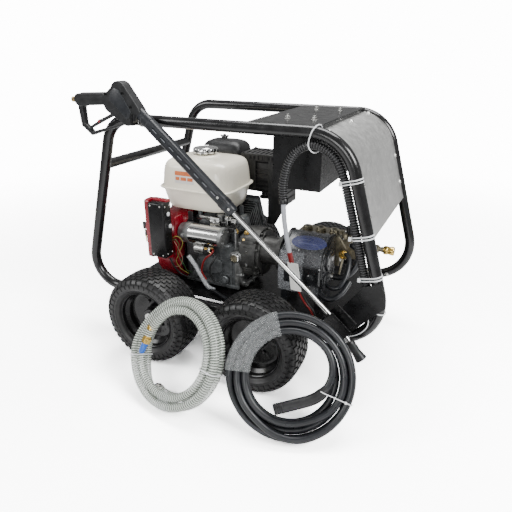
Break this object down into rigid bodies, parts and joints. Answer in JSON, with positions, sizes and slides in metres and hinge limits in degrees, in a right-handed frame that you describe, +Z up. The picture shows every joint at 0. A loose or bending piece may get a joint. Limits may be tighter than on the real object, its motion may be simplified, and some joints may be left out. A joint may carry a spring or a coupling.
{
  "type": "petrol pressure washer",
  "caption": "Wheeled petrol pressure washer: engine-driven plunger pump in a tubular frame, with a trigger gun on a lance and coiled suction and delivery hoses.",
  "frame": {"origin": "on the floor, midway between the two side hoops and midway along their top rails", "axes": "+X towards the pump end, -Y towards the operator's side with the lance, +Z up"},
  "size_m": [1.0521, 1.0154, 0.869],
  "materials": {
    "frame_black": "glossy powder coat",
    "plate_black": "satin powder coat, dusty",
    "stainless": "brushed, lightly smeared",
    "zinc": "zinc plated",
    "tyre": "moulded rubber",
    "rim_black": "satin black",
    "engine_grey": "painted casting",
    "steel": "machined",
    "red_cover": "glossy enamel",
    "tank_cream": "glossy enamel",
    "chrome": "plated",
    "black_plastic": "moulded",
    "exhaust": "heat-resistant matt",
    "gear_case": "painted casting",
    "pump_black": "painted casting",
    "brass": "machined, dulled",
    "ceramic": "polished",
    "hose_black": "smooth, slightly glossy",
    "hose_clear": "clear reinforced plastic",
    "cable_grey": "plastic sleeve",
    "grip_grey": "moulded"
  },
  "bodies": {
    "root": {"hoop_near": "frame_black", "hoop_far": "frame_black", "cross_tubes": "frame_black", "deck_plate": "plate_black", "top_plate": "plate_black", "end_cover": "stainless", "frame_screws": "zinc", "battery_box": "frame_black", "battery": "black_plastic", "lance_rests": "frame_black", "axles": "zinc", "axle_caps": "zinc", "engine_block": "engine_grey", "crank_cover": "engine_grey", "cylinder_head": "engine_grey", "piston": "steel", "fan_cover": "red_cover", "recoil_cover": "red_cover", "fuel_tank": "tank_cream", "air_cleaner": "black_plastic", "muffler": "exhaust", "muffler_guard": "exhaust", "starter_motor": "chrome", "control_box": "red_cover", "engine_mounts": "black_plastic", "gear_case": "gear_case", "pump_case": "pump_black", "pump_head": "brass", "plungers": "ceramic", "unloader_valve": "brass", "bypass_hose": "hose_black", "starter_cable": "cable_grey", "conduit": "black_plastic"},
    "wheel_left_near": {"tyre_left_near": "tyre", "rim_left_near": "rim_black"},
    "wheel_left_far": {"tyre_left_far": "tyre", "rim_left_far": "rim_black"},
    "wheel_right_near": {"tyre_right_near": "tyre", "rim_right_near": "rim_black"},
    "wheel_right_far": {"tyre_right_far": "tyre", "rim_right_far": "rim_black"},
    "engine_shaft": {"crankshaft": "steel", "flywheel": "engine_grey", "drive_pinion": "steel"},
    "pump_crank": {"pump_shaft": "steel", "driven_gear": "steel"},
    "recoil_handle": {"recoil_handle": "black_plastic"},
    "fuel_cap": {"fuel_cap": "chrome"},
    "wing_nut": {"wing_nut": "black_plastic"},
    "ignition_key": {"ignition_key": "black_plastic"},
    "throttle_lever": {"throttle_lever": "black_plastic"},
    "unloader_knob": {"unloader_knob": "black_plastic"},
    "coupler_sleeve": {"coupler_sleeve": "brass"},
    "lance": {"gun_body": "black_plastic", "grip": "grip_grey", "lance_tube": "steel", "nozzle_guard": "black_plastic"},
    "trigger": {"trigger": "black_plastic"},
    "suction_coil": {"suction_coil": "hose_clear"},
    "delivery_coil": {"delivery_coil": "hose_black"}
  },
  "joints": [
    {"name": "wheel_left_near_spin", "type": "hinge", "parent": "root", "child": "wheel_left_near", "pos_m": [-0.1995, -0.3435, 0.1515], "axis": [0, 1, 0], "continuous": true},
    {"name": "wheel_left_far_spin", "type": "hinge", "parent": "root", "child": "wheel_left_far", "pos_m": [-0.1995, 0.3435, 0.1515], "axis": [0, 1, 0], "continuous": true},
    {"name": "wheel_right_near_spin", "type": "hinge", "parent": "root", "child": "wheel_right_near", "pos_m": [0.1705, -0.3435, 0.1515], "axis": [0, 1, 0], "continuous": true},
    {"name": "wheel_right_far_spin", "type": "hinge", "parent": "root", "child": "wheel_right_far", "pos_m": [0.1705, 0.3435, 0.1515], "axis": [0, 1, 0], "continuous": true},
    {"name": "engine_shaft_spin", "type": "hinge", "parent": "root", "child": "engine_shaft", "pos_m": [0, -0.06, 0.305], "axis": [1, 0, 0], "continuous": true},
    {"name": "pump_crank_spin", "type": "hinge", "parent": "root", "child": "pump_crank", "pos_m": [0.052, -0.09447, 0.33947], "axis": [1, 0, 0], "continuous": true},
    {"name": "recoil_pull", "type": "slide", "parent": "root", "child": "recoil_handle", "axis": [0, -0.766, 0.6428], "range_m": [0, 0.05], "stiffness_N_per_m": 60},
    {"name": "fuel_cap_turn", "type": "hinge", "parent": "root", "child": "fuel_cap", "pos_m": [-0.178, -0.014, 0.63], "axis": [0, 0, 1], "range_deg": [0, 90]},
    {"name": "wing_nut_turn", "type": "hinge", "parent": "root", "child": "wing_nut", "pos_m": [-0.193, 0.15, 0.655], "axis": [0, 0, 1], "continuous": true},
    {"name": "ignition_key_turn", "type": "hinge", "parent": "root", "child": "ignition_key", "pos_m": [-0.29, -0.227, 0.408], "axis": [1, 0, 0], "range_deg": [0, 80]},
    {"name": "throttle_turn", "type": "hinge", "parent": "root", "child": "throttle_lever", "pos_m": [0.012, -0.152, 0.408], "axis": [1, 0, 0], "range_deg": [-45, 20]},
    {"name": "unloader_knob_turn", "type": "hinge", "parent": "root", "child": "unloader_knob", "pos_m": [0.345, 0.01, 0.41], "axis": [0, 0, 1], "range_deg": [0, 300]},
    {"name": "coupler_pull", "type": "slide", "parent": "root", "child": "coupler_sleeve", "axis": [1, 0, 0], "range_m": [-0.006, 0], "stiffness_N_per_m": 600},
    {"name": "lance_lift", "type": "slide", "parent": "root", "child": "lance", "axis": [0, 0, 1], "range_m": [0, 0.3]},
    {"name": "trigger_pull", "type": "hinge", "parent": "lance", "child": "trigger", "pos_m": [-0.306, -0.292, 0.779], "axis": [0, 1, 0], "range_deg": [0, 18], "stiffness_Nm_per_rad": 0.6, "springref_deg": -17.19},
    {"name": "suction_coil_pull", "type": "slide", "parent": "root", "child": "suction_coil", "axis": [0, -1, 0], "range_m": [0, 0.3]},
    {"name": "delivery_coil_pull", "type": "slide", "parent": "root", "child": "delivery_coil", "axis": [0, -1, 0], "range_m": [0, 0.3]}
  ],
  "couplings": [
    {"joint": "pump_crank_spin", "follows": "engine_shaft_spin", "ratio": -0.47727}
  ]
}
